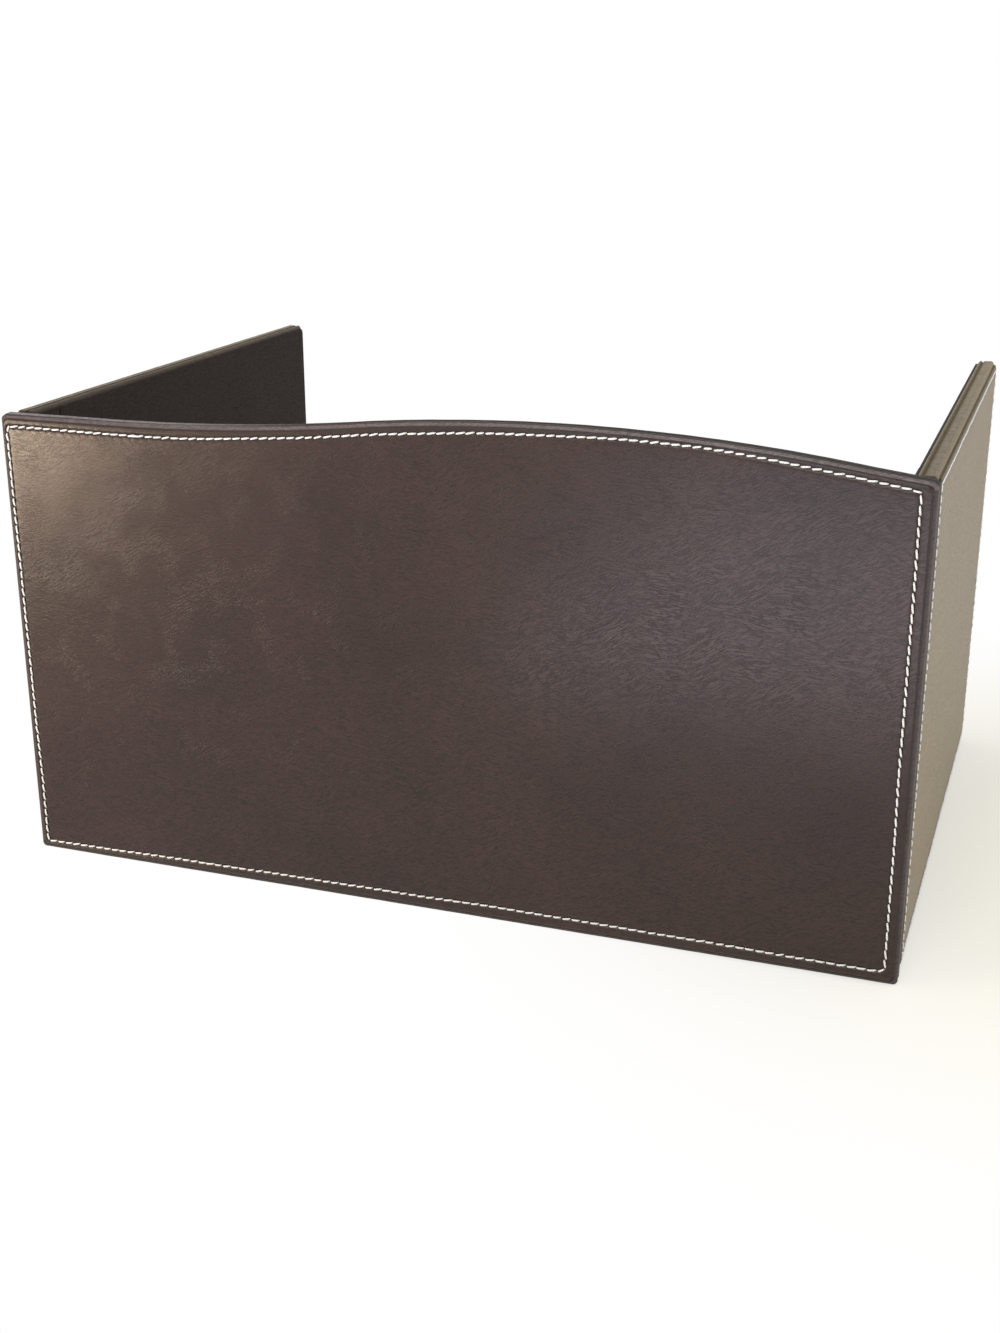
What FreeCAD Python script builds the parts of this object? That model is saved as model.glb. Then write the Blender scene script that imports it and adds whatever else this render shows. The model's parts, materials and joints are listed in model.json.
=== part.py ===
import FreeCAD, Part
import math
import os

# Free-standing desk screen: an arched front panel with a wing hinged at each end, standing open.
# Lengths are in millimetres and +Z is up. The origin lies on the table under the middle of the screen.
# The front panel's outer face looks along -Y, and the wings run back along +Y.

# The open screen
screen_width = 400.0
screen_depth = 285.0
end_height = 207.2
arch_rise = 11.4
# How far the wings' outer faces stand in from the front panel's ends
wing_recess = 0.4

# The front panel's top edge, as shares of its width counted from its left end: a level shoulder,
# a hollow sweep, a crest, and a short flare that meets the right end at the shoulder's height
arch_start_share = 0.13
crest_share = 0.645
flare_start_share = 0.925
# Share that the sweep takes of the rise, up to the point where the curve turns over
sweep_share = 0.555

# Layers of every panel, counted from its outer face
facing_leather = 0.7
card_thickness = 0.5
core_thickness = 7.8
lining_thickness = 1.4

# Edges of a panel: the padded leather band round the core, and how far the other layers stop short of it
band_thickness = 3.2
panel_corner_radius = 4.2
facing_inset = 2.0
facing_corner_radius = 2.6
lining_inset = 1.4
lining_corner_radius = 2.8
# The facing is glued on a little high, and a little towards the panel's right or back end
facing_shift_along = 0.3
facing_shift_up = 0.5

# Rounding of long edges, as shares of the leather that is rounded
band_round_share = 0.5
facing_round_share = 0.75
lining_round_share = 0.5

# The stitched border: the thread lies in a shallow channel, level with the facing
seam_margin = 3.0
seam_corner_radius = 0.9
thread_width = 1.0
thread_thickness = 0.35
channel_side_gap = 0.1

# Leather hinges in the inner corners: the pivot stands off both inner faces by the same amount
hinge_offset = 1.1
hinge_gap = 0.4
leaf_width = 20.0
leaf_joint_gap = 0.2
bead_seat = 0.3
bead_clearance = 0.4

# How far cutting tools run past what they cut
overrun = 5.0

# Sizes that follow from those above
facing_thickness = facing_leather + card_thickness
lining_depth = facing_thickness + core_thickness
panel_thickness = lining_depth + lining_thickness
wing_length = screen_depth - panel_thickness - hinge_gap
seam_inset = facing_inset + seam_margin
bead_radius = hinge_offset + bead_seat
wing_face_x = screen_width / 2 - wing_recess
hinge_x = wing_face_x - panel_thickness - hinge_offset
hinge_y = panel_thickness + hinge_offset - screen_depth / 2
leaf_reach = hinge_gap + leaf_width

# The arcs of the front panel's top edge
arch_start = screen_width * arch_start_share
crest_at = screen_width * crest_share
flare_start = screen_width * flare_start_share
crest_height = end_height + arch_rise
rise_run = crest_at - arch_start
rise_radii = (rise_run ** 2 + arch_rise ** 2) / (2 * arch_rise)
sweep_radius = rise_radii * sweep_share
crest_radius = rise_radii - sweep_radius
turnover = arch_start + rise_run * sweep_share


def crest_arc_height(along):
    """Height of the crest's arc at a distance from the panel's left end."""
    return crest_height - crest_radius + math.sqrt(crest_radius ** 2 - (along - crest_at) ** 2)


# The flare is the arc that leaves the crest's arc without a kink and ends at the right end's height
flare_slope = math.asin((flare_start - crest_at) / crest_radius)
flare_run = screen_width - flare_start
flare_drop = crest_arc_height(flare_start) - end_height
flare_lift = flare_run * math.sin(flare_slope) - flare_drop * math.cos(flare_slope)
flare_radius = (flare_run ** 2 + flare_drop ** 2) / (2 * flare_lift)
flare_centre_at = flare_start + flare_radius * math.sin(flare_slope)
flare_centre_height = crest_arc_height(flare_start) + flare_radius * math.cos(flare_slope)


def arch_height(along):
    """Height of the front panel's top edge at a distance from its left end."""
    if along <= arch_start:
        return end_height
    if along <= turnover:
        return end_height + sweep_radius - math.sqrt(sweep_radius ** 2 - (along - arch_start) ** 2)
    if along <= flare_start:
        return crest_arc_height(along)
    return flare_centre_height - math.sqrt(flare_radius ** 2 - (along - flare_centre_at) ** 2)


def arched_top(left, right, drop, depth):
    """Edges of the arched top edge from right to left, lowered by drop, at a depth behind the face."""
    def at(along):
        return FreeCAD.Vector(along, depth, arch_height(along) - drop)

    edges = []
    bends = (right, flare_start, turnover, arch_start)
    for start, end in zip(bends, bends[1:]):
        middle = (start + end) / 2
        edges.append(Part.Arc(at(start), at(middle), at(end)).toShape())
    edges.append(Part.makeLine(at(arch_start), at(left)))
    return edges


def straight_top(left, right, drop, depth):
    """Edge of a wing's level top from right to left, lowered by drop, at a depth behind the face."""
    height = end_height - drop
    return [Part.makeLine(FreeCAD.Vector(right, depth, height), FreeCAD.Vector(left, depth, height))]


class Panel:
    """One covered board, drawn with its outer face on y = 0 and its bottom left corner at the origin."""

    def __init__(self, length, top_edges):
        self.length = length
        self.top_edges = top_edges

    def plate(self, inset, depth, thickness, corner_radius):
        """Plate of the panel's outline drawn in by inset, with round corners, at a depth behind it."""
        left = inset
        right = self.length - inset
        top = self.top_edges(left, right, inset, depth)
        low_left = FreeCAD.Vector(left, depth, inset)
        low_right = FreeCAD.Vector(right, depth, inset)
        outline = [
            Part.makeLine(low_left, low_right),
            Part.makeLine(low_right, top[0].firstVertex(True).Point),
            *top,
            Part.makeLine(top[-1].lastVertex(True).Point, low_left),
        ]
        face = Part.Face(Part.Wire(outline))
        solid = face.extrude(FreeCAD.Vector(0, thickness, 0))
        half_way = depth + thickness / 2
        corners = [
            edge
            for edge in solid.Edges
            if abs(edge.CenterOfMass.y - half_way) < thickness / 4
            and min(edge.CenterOfMass.x - left, right - edge.CenterOfMass.x) < corner_radius / 2
        ]
        return solid.makeFillet(corner_radius, corners)

    def ring(self, inset, depth, thickness, width, corner_radius):
        """Flat ring that runs round the panel, width wide, with its middle line drawn in by inset."""
        outer = self.plate(inset - width / 2, depth, thickness, corner_radius + width / 2)
        inner = self.plate(inset + width / 2, depth, thickness, corner_radius - width / 2)
        return outer.cut(inner)

    def core_board(self):
        """Stiff board inside the edge band."""
        radius = panel_corner_radius - band_thickness
        return self.plate(band_thickness, facing_thickness, core_thickness, radius)

    def edge_band(self):
        """Leather band round the core board's edges, with its outer edges rounded."""
        blank = self.plate(0, facing_thickness, core_thickness, panel_corner_radius)
        radius = band_thickness * band_round_share
        rounded = round_face_edges(blank, radius, (facing_thickness, lining_depth))
        return rounded.cut(self.core_board())

    def facing_card(self):
        """Thin card that the facing is turned over."""
        radius = facing_corner_radius - facing_leather
        return self.plate(facing_inset + facing_leather, facing_leather, card_thickness, radius)

    def facing(self):
        """Outer leather: a shallow tray over the card, with a channel for the seam."""
        blank = self.plate(facing_inset, 0, facing_thickness, facing_corner_radius)
        rounded = round_face_edges(blank, facing_leather * facing_round_share, (0,))
        channel_width = thread_width + 2 * channel_side_gap
        channel = self.ring(seam_inset, 0, thread_thickness, channel_width, seam_corner_radius)
        return rounded.cut(self.facing_card()).cut(channel)

    def seam_thread(self):
        """The border's thread, as one flat loop in the facing's channel."""
        return self.ring(seam_inset, 0, thread_thickness, thread_width, seam_corner_radius)

    def lining_sheet(self):
        """Inner leather over the whole inner face, with its edge rounded, not yet cut into strips."""
        blank = self.plate(lining_inset, lining_depth, lining_thickness, lining_corner_radius)
        return round_face_edges(blank, lining_thickness * lining_round_share, (panel_thickness,))

    def strip(self, sheet, start, end):
        """Part of a sheet between two distances along the panel, over its full height."""
        height = crest_height + 2 * overrun
        corner = FreeCAD.Vector(start, -overrun, -overrun)
        return sheet.common(Part.makeBox(end - start, panel_thickness + 2 * overrun, height, corner))

    def layers(self):
        """Every piece of the panel except the inner leather, by name."""
        shift = FreeCAD.Vector(facing_shift_along, 0, facing_shift_up)
        return {
            "core_board": self.core_board(),
            "edge_band": self.edge_band(),
            "facing_card": self.facing_card().translated(shift),
            "facing": self.facing().translated(shift),
            "seam_thread": self.seam_thread().translated(shift),
        }


def round_face_edges(solid, radius, depths):
    """Round the outline edges of a plate that lie at the given depths behind the outer face."""
    rim = []
    for edge in solid.Edges:
        box = edge.BoundBox
        if box.YLength < radius / 2 and any(abs(box.Center.y - depth) < radius / 2 for depth in depths):
            rim.append(edge)
    return solid.makeFillet(radius, rim)


def mirrored(shape):
    """The same piece on the screen's other side."""
    return shape.mirror(FreeCAD.Vector(0, 0, 0), FreeCAD.Vector(1, 0, 0))


def stood_in_front(shape):
    """Front panel piece moved to its place."""
    return shape.translated(FreeCAD.Vector(-screen_width / 2, -screen_depth / 2, 0))


def stood_at_right(shape):
    """Wing piece turned to face right and moved behind the front panel's right end."""
    turned = shape.rotated(FreeCAD.Vector(0, 0, 0), FreeCAD.Vector(0, 0, 1), 90)
    return turned.translated(FreeCAD.Vector(wing_face_x, screen_depth / 2 - wing_length, 0))


def pivot_rod(radius, inset):
    """Upright rod on the right hinge's pivot, stopping short of the panel's ends by inset."""
    foot = FreeCAD.Vector(hinge_x, hinge_y, inset)
    return Part.makeCylinder(radius, end_height - 2 * inset, foot)


def front_panel():
    """Pieces of the front panel and the hinge leaves that stay on it."""
    panel = Panel(screen_width, arched_top)
    nodes = {"front_" + name: stood_in_front(shape) for name, shape in panel.layers().items()}
    sheet = panel.lining_sheet()
    leaf_end = screen_width / 2 - hinge_x + leaf_width
    lining_start = leaf_end + leaf_joint_gap
    lining = panel.strip(sheet, lining_start, screen_width - lining_start)
    nodes["front_lining"] = stood_in_front(lining)
    bead = pivot_rod(bead_radius, lining_inset)
    left_leaf = stood_in_front(panel.strip(sheet, 0, leaf_end))
    right_leaf = stood_in_front(panel.strip(sheet, screen_width - leaf_end, screen_width))
    nodes["left_hinge_front_leaf"] = left_leaf.fuse(mirrored(bead))
    nodes["right_hinge_front_leaf"] = right_leaf.fuse(bead)
    return nodes


def wings():
    """Pieces of both wings and the hinge leaves that turn with them."""
    panel = Panel(wing_length, straight_top)
    right = {"wing_" + name: stood_at_right(shape) for name, shape in panel.layers().items()}
    sheet = panel.lining_sheet()
    right["wing_lining"] = stood_at_right(panel.strip(sheet, leaf_reach + leaf_joint_gap, wing_length))
    leaf = stood_at_right(panel.strip(sheet, 0, leaf_reach))
    right["hinge_wing_leaf"] = leaf.cut(pivot_rod(bead_radius + bead_clearance, 0))
    nodes = {}
    for name, shape in right.items():
        nodes["right_" + name] = shape
        nodes["left_" + name] = mirrored(shape)
    return nodes


def main():
    """Build every piece and write one file for each."""
    os.makedirs("parts", exist_ok=True)
    for name, shape in {**front_panel(), **wings()}.items():
        shape.exportStep(f"parts/{name}.step")
        print(name, len(shape.Solids), shape.isValid(), round(shape.Volume, 1))


main()
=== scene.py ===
import json
import logging
import math
from dataclasses import dataclass
from enum import Enum
from functools import partial
from typing import Callable, Sequence

import bmesh
import bpy
import numpy as np
from mathutils import Matrix, Vector


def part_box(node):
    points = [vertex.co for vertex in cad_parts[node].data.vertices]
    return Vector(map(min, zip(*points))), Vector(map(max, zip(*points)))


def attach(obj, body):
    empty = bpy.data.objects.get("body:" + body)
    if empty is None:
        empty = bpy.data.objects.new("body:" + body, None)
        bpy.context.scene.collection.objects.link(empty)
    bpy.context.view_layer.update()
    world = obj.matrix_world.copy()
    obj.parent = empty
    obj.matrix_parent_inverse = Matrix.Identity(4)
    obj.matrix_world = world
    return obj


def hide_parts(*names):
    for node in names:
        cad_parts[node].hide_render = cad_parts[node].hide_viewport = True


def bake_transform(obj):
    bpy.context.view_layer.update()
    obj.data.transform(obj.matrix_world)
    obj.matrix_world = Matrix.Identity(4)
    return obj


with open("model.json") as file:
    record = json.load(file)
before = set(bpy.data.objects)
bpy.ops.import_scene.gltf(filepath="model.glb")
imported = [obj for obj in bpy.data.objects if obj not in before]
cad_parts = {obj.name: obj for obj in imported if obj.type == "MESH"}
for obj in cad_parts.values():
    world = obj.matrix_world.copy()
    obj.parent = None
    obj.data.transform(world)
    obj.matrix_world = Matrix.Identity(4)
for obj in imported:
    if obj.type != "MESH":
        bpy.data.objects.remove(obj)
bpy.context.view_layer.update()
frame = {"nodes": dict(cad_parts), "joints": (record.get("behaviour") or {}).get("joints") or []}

LOG = logging.getLogger("desk_screen")

MM = 0.001
QUARTER = math.pi / 2
HALF = 0.5
WHITE = (1.0, 1.0, 1.0, 1.0)
# Points closer together than this are one point
WELD = 1e-6
# Vertex attribute of painted shade, from 0 on the open leather up to 1 in grooves, recesses and the shaded
# parts of the edge band, and the UV map of the stitches
SHADE_ATTRIBUTE = "groove"
THREAD_MAP = "thread"
# Numbers of the Mix node's sockets for values and for colours
VALUE_A, VALUE_B, COLOUR_A, COLOUR_B, COLOUR_OUT = 2, 3, 6, 7, 2

# Longer side of the photograph's frame, in pixels
PHOTO_HEIGHT = 1333

Array = np.ndarray
Material = bpy.types.Material
Node = bpy.types.Node
Piece = bpy.types.Object
AddNode = Callable[..., Node]
Point = tuple[float, float, float]
# Size of a noise in metres, or in creases, the detail that it has and the roughness of that detail
Noise = tuple[float, float, float]
# Values at shares of the way along a panel
Course = tuple[tuple[float, float], ...]
LEVEL_COURSE: Course = ((0.0, 0.0), (1.0, 0.0))


class Body(Enum):
    """Panel of the screen, by the name of the body that carries it."""

    FRONT = "front_panel"
    LEFT = "left_wing"
    RIGHT = "right_wing"

    @property
    def prefix(self) -> str:
        """First words of the names of this panel's pieces."""
        return "front" if self is Body.FRONT else self.value


class Slot(Enum):
    """Material slot of the record."""

    OUTER = "outer_leather"
    LINING = "lining_leather"
    THREAD = "seam_thread"


def linear_colour(code: str) -> tuple[float, float, float, float]:
    """Turn an sRGB hex code into a linear colour.

    Args:
        code: Six hex digits.

    Returns:
        Linear red, green and blue, and full opacity.
    """
    knee, slope, offset, gamma = 0.04045, 12.92, 0.055, 2.4
    channels = np.frombuffer(bytes.fromhex(code), dtype=np.uint8) / 255
    curve = ((channels + offset) / (1 + offset)) ** gamma
    red, green, blue = np.where(channels <= knee, channels / slope, curve).tolist()
    return red, green, blue, 1.0


def add_node(
    tree: bpy.types.NodeTree, kind: str, inputs: dict[str | int, object] | None = None, **settings: object
) -> Node:
    """Add one node, with its settings and what feeds it.

    Args:
        tree: Node tree that gets the node.
        kind: Blender's name of the node type.
        inputs: Constant, socket or node for each input, by its name or number. A node gives its first output.
        settings: Properties of the node itself.

    Returns:
        The new node.
    """
    node = tree.nodes.new(kind)
    for key, value in settings.items():
        setattr(node, key, value)
    for key, value in (inputs or {}).items():
        source = value.outputs[0] if isinstance(value, Node) else value
        if isinstance(source, bpy.types.NodeSocket):
            tree.links.new(source, node.inputs[key])
        else:
            node.inputs[key].default_value = source
    return node


def new_material(name: str) -> tuple[Material, AddNode]:
    """Make an empty node material.

    Args:
        name: Name of the material.

    Returns:
        The material, and the function that adds nodes to it.
    """
    material = bpy.data.materials.new(name)
    material.use_nodes = True
    material.node_tree.nodes.clear()
    return material, partial(add_node, material.node_tree)


@dataclass(frozen=True)
class CoatedLeather:
    """Split leather with a thin polyurethane coat, rolled with a fine crease grain.

    To the eye it is a very dark brown with a soft satin sheen that turns pale at a slant. Short hair-like
    creases and fine pores break the sheen up, and the dye is a little uneven from hand to hand.

    Attributes:
        name: Name of the material.
        colour: Colour of the coat.
        crease_colour: Colour down in the creases.
        roughness: Roughness of the smoothest and of the dullest places.
        specular: Specular level of the coat.
        relief: Height from the creases to the coat's surface.
        haze: Weight of the pale haze that fine dust and fibre ends give it at a slant.
    """

    name: str
    colour: str
    crease_colour: str
    roughness: tuple[float, float]
    specular: float
    relief: float
    haze: float

    ior: float = 1.5
    haze_colour: str = "d2bf8c"
    haze_roughness: float = 0.35
    # Painted shade: the colour that grooves, recesses and shaded edges are darkened towards, and how much
    # duller they get
    painted_shade_colour: str = "0e0907"
    groove_dullness: float = 0.4
    crease_dullness: float = 0.12
    # Real creases are about 0.3 mm wide, which is under a pixel here, so they are drawn 2.5 times as wide
    crease_width: float = 0.75 * MM
    crease_length: float = 5.2 * MM
    crease_slants: tuple[float, float] = (4.0, -32.0)
    crease_bend: float = 0.6 * MM
    # Depth of a crease against that of the pores, and how far from the noise's middle value its sides reach
    crease_depth: float = 0.8
    crease_side: float = 0.085
    crease_noise: Noise = (1.0, 2.0, 0.55)
    bend_noise: Noise = (8.0 * MM, 1.0, 0.5)
    patch_noise: Noise = (18.0 * MM, 1.0, 0.5)
    pore_noise: Noise = (0.55 * MM, 2.0, 0.5)
    dye_noise: Noise = (55.0 * MM, 3.0, 0.6)
    dye_change: float = 0.16
    # Values of a noise between which a slow change and the change of polish take place
    slow_change: tuple[float, float] = (0.3, 0.7)
    polish_change: tuple[float, float] = (0.25, 0.75)

    def material(self) -> Material:
        """Build the material.

        Two sets of creases, each a noise stretched along its own slant and folded to thin lines, take turns
        from patch to patch. The lines are lower, darker and duller than the coat between them.

        Returns:
            The finished material.
        """
        material, add = new_material(self.name)
        place = add("ShaderNodeTexCoord").outputs["Object"]
        noises = [
            {"Vector": place, "Scale": 1 / size, "Detail": detail, "Roughness": rough}
            for size, detail, rough in (
                self.bend_noise, self.patch_noise, self.pore_noise, self.dye_noise, self.crease_noise
            )
        ]
        sway, patch, pores, dye = (add("ShaderNodeTexNoise", noise) for noise in noises[:-1])
        spread = {0: sway.outputs["Color"], 1: (HALF,) * 3}
        centred = add("ShaderNodeVectorMath", spread, operation="SUBTRACT")
        bend = {0: centred, 1: (self.crease_bend,) * 3, 2: place}
        bent = add("ShaderNodeVectorMath", bend, operation="MULTIPLY_ADD")
        stretch = (self.crease_length, self.crease_length, self.crease_width)
        side = {"From Min": 0.0, "From Max": self.crease_side, "To Min": 1.0, "To Max": 0.0}
        slow = dict(zip(("From Min", "From Max"), self.slow_change))
        lines = []
        for slant in self.crease_slants:
            laid = {"Vector": bent, "Rotation": (0.0, math.radians(slant), 0.0), "Scale": stretch}
            turned = add("ShaderNodeMapping", laid, vector_type="TEXTURE")
            hair = add("ShaderNodeTexNoise", {**noises[-1], "Vector": turned})
            fold = add("ShaderNodeMath", {0: hair, 1: HALF}, operation="SUBTRACT")
            depth = add("ShaderNodeMath", {0: fold}, operation="ABSOLUTE")
            lines.append(add("ShaderNodeMapRange", {"Value": depth, **side}, interpolation_type="SMOOTHSTEP"))
        choice = add("ShaderNodeMapRange", {"Value": patch, **slow}, interpolation_type="SMOOTHSTEP")
        crease = add("ShaderNodeMix", {0: choice, VALUE_A: lines[0], VALUE_B: lines[1]})
        height = add("ShaderNodeMath", {0: crease, 1: -self.crease_depth, 2: pores}, operation="MULTIPLY_ADD")
        bump = add("ShaderNodeBump", {"Strength": 1.0, "Distance": self.relief, "Height": height})

        coat = {COLOUR_A: linear_colour(self.colour), COLOUR_B: linear_colour(self.crease_colour)}
        shade = add("ShaderNodeMix", {0: crease, **coat}, data_type="RGBA").outputs[COLOUR_OUT]
        strength = {"To Min": 1 - self.dye_change, "To Max": 1 + self.dye_change}
        tone = add("ShaderNodeMapRange", {"Value": dye, **slow, **strength})
        dyed = add("ShaderNodeHueSaturation", {"Value": tone, "Color": shade})
        # Painted shade: the attribute mixes the colour towards a near-black brown where shade falls
        groove = add("ShaderNodeAttribute", attribute_name=SHADE_ATTRIBUTE).outputs["Fac"]
        painted_shade = {0: groove, COLOUR_A: dyed, COLOUR_B: linear_colour(self.painted_shade_colour)}
        colour = add("ShaderNodeMix", painted_shade, data_type="RGBA").outputs[COLOUR_OUT]
        ranges = dict(zip(("From Min", "From Max", "To Min", "To Max"), self.polish_change + self.roughness))
        roughness = add("ShaderNodeMapRange", {"Value": pores, **ranges})
        for low_place, dullness in ((crease, self.crease_dullness), (groove, self.groove_dullness)):
            duller = {0: low_place, 1: dullness, 2: roughness}
            roughness = add("ShaderNodeMath", duller, operation="MULTIPLY_ADD")
        shader = add("ShaderNodeBsdfPrincipled", {
            "Base Color": colour,
            "Roughness": roughness,
            "Normal": bump,
            "IOR": self.ior,
            "Specular IOR Level": self.specular,
            "Sheen Weight": self.haze,
            "Sheen Roughness": self.haze_roughness,
            "Sheen Tint": linear_colour(self.haze_colour),
        })
        add("ShaderNodeOutputMaterial", {"Surface": shader})
        return material


@dataclass(frozen=True)
class TwistedThread:
    """Bonded polyester sewing thread of three twisted plies.

    To the eye it is off-white and matt, with fine slanted lines between the plies.

    Attributes:
        name: Name of the material.
        colour: Colour of a ply's crown.
        painted_shade_colour: Colour between the plies, a painted shade.
        relief: Depth between the plies.
    """

    name: str
    colour: str
    painted_shade_colour: str
    relief: float

    roughness: float = 0.62
    relief_strength: float = 0.8
    plies_per_turn: float = 3.0
    turns_per_stitch: float = 2.0

    def material(self) -> Material:
        """Build the material: a wave that winds round the thread, on the thread's own round-and-along map.

        Returns:
            The finished material.
        """
        material, add = new_material(self.name)
        mapped = add("ShaderNodeUVMap", uv_map=THREAD_MAP)
        split = add("ShaderNodeSeparateXYZ", {0: mapped}).outputs
        lines = self.turns_per_stitch * self.plies_per_turn
        along = add("ShaderNodeMath", {0: split["Y"], 1: lines}, operation="MULTIPLY")
        winding = {0: split["X"], 1: self.plies_per_turn, 2: along}
        wound = add("ShaderNodeMath", winding, operation="MULTIPLY_ADD")
        ply = add("ShaderNodeMath", {0: wound, 1: 1.0}, operation="PINGPONG")
        # Painted shade: the colour is darker between the plies
        plies = {0: ply, COLOUR_A: linear_colour(self.painted_shade_colour), COLOUR_B: linear_colour(self.colour)}
        colour = add("ShaderNodeMix", plies, data_type="RGBA").outputs[COLOUR_OUT]
        raised = {"Strength": self.relief_strength, "Distance": self.relief, "Height": ply}
        bump = add("ShaderNodeBump", raised)
        surface = {"Base Color": colour, "Roughness": self.roughness, "Normal": bump}
        add("ShaderNodeOutputMaterial", {"Surface": add("ShaderNodeBsdfPrincipled", surface)})
        return material


@dataclass(frozen=True)
class PressedFibre:
    """Board or card of pressed fibres, plain and matt, with flecks of lighter and darker fibre.

    Attributes:
        name: Name of the material.
        light: Colour of the lighter fibres.
        dark: Colour of the darker fibres.
        fleck: Length of a fleck.
    """

    name: str
    light: str
    dark: str
    fleck: float

    roughness: float = 0.85
    fleck_detail: float = 4.0

    def material(self) -> Material:
        """Build the material: two colours mixed by a noise as fine as the flecks.

        Returns:
            The finished material.
        """
        material, add = new_material(self.name)
        place = add("ShaderNodeTexCoord").outputs["Object"]
        spread = {"Vector": place, "Scale": 1 / self.fleck, "Detail": self.fleck_detail}
        flecks = add("ShaderNodeTexNoise", spread)
        fibres = {0: flecks, COLOUR_A: linear_colour(self.dark), COLOUR_B: linear_colour(self.light)}
        colour = add("ShaderNodeMix", fibres, data_type="RGBA").outputs[COLOUR_OUT]
        surface = {"Base Color": colour, "Roughness": self.roughness}
        add("ShaderNodeOutputMaterial", {"Surface": add("ShaderNodeBsdfPrincipled", surface)})
        return material


def sag(distance: Array | float, radius: float) -> Array:
    """Height of an arc of a radius above its level point, at a distance from that point."""
    return radius - np.sqrt(np.maximum(radius**2 - distance**2, 0))


@dataclass(frozen=True)
class Arch:
    """Rise of a panel's top edge above its ends.

    Counted from the panel's left end, the edge is level, sweeps up in a hollow arc, turns over into the
    crest's arc and flares out again to the right end. The shares are of the panel's width.
    """

    width: float
    rise: float
    start_share: float = 0.13
    crest_share: float = 0.645
    flare_share: float = 0.925
    sweep_share: float = 0.555

    def height(self, along: Array) -> Array:
        """Work out the rise at distances from the panel's left end.

        An arc of radius r that is level at c rises by r - sqrt(r^2 - (x - c)^2), and the crest's arc falls by
        as much. The hollow arc and the crest's arc share the rise, so their radii add up to
        (run^2 + rise^2) / (2 rise). The flare leaves the crest's arc along its tangent and ends at no rise.

        Args:
            along: Distances from the left end.

        Returns:
            Heights above the level of the ends.
        """
        if self.rise == 0:
            return np.zeros_like(along)
        start, crest, flare = (self.width * s for s in (self.start_share, self.crest_share, self.flare_share))
        run = crest - start
        radii = (run**2 + self.rise**2) / (2 * self.rise)
        hollow, dome = radii * self.sweep_share, radii * (1 - self.sweep_share)
        turnover = start + run * self.sweep_share
        slope = math.asin((flare - crest) / dome)
        top = self.rise - sag(flare - crest, dome)
        reach = self.width - flare
        radius = (reach**2 + top**2) / (2 * (reach * math.sin(slope) - top * math.cos(slope)))
        centre = flare + radius * math.sin(slope)
        foot = top + radius * math.cos(slope) - radius
        return np.select(
            [along <= start, along <= turnover, along <= flare],
            [0 * along, sag(along - start, hollow), self.rise - sag(along - crest, dome)],
            foot + sag(along - centre, radius),
        )


@dataclass(frozen=True)
class Placement:
    """Where a panel stands: its low outer corner, the way along it and the way in from its outer face."""

    origin: Point
    along: Point
    inward: Point

    up: Point = (0.0, 0.0, 1.0)

    @property
    def left_handed(self) -> bool:
        """Whether along, inward and up make a left-handed set, which would turn faces inside out."""
        return float(np.cross(self.along, self.inward)[2]) < 0

    def to_world(self, along: Array, depth: Array, height: Array) -> Array:
        """Turn a panel's own coordinates into points of the shared frame.

        Args:
            along: Distances along the panel.
            depth: Depths behind its outer face.
            height: Heights above the table.

        Returns:
            Points, with x, y and z on the last axis: origin + along * way + depth * way in + height * up.
        """
        points = np.array(self.origin)
        parts = np.broadcast_arrays(along, depth, height)
        for part, way in zip(parts, (self.along, self.inward, self.up)):
            points = points + part[..., None] * np.array(way)
        return points


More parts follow.
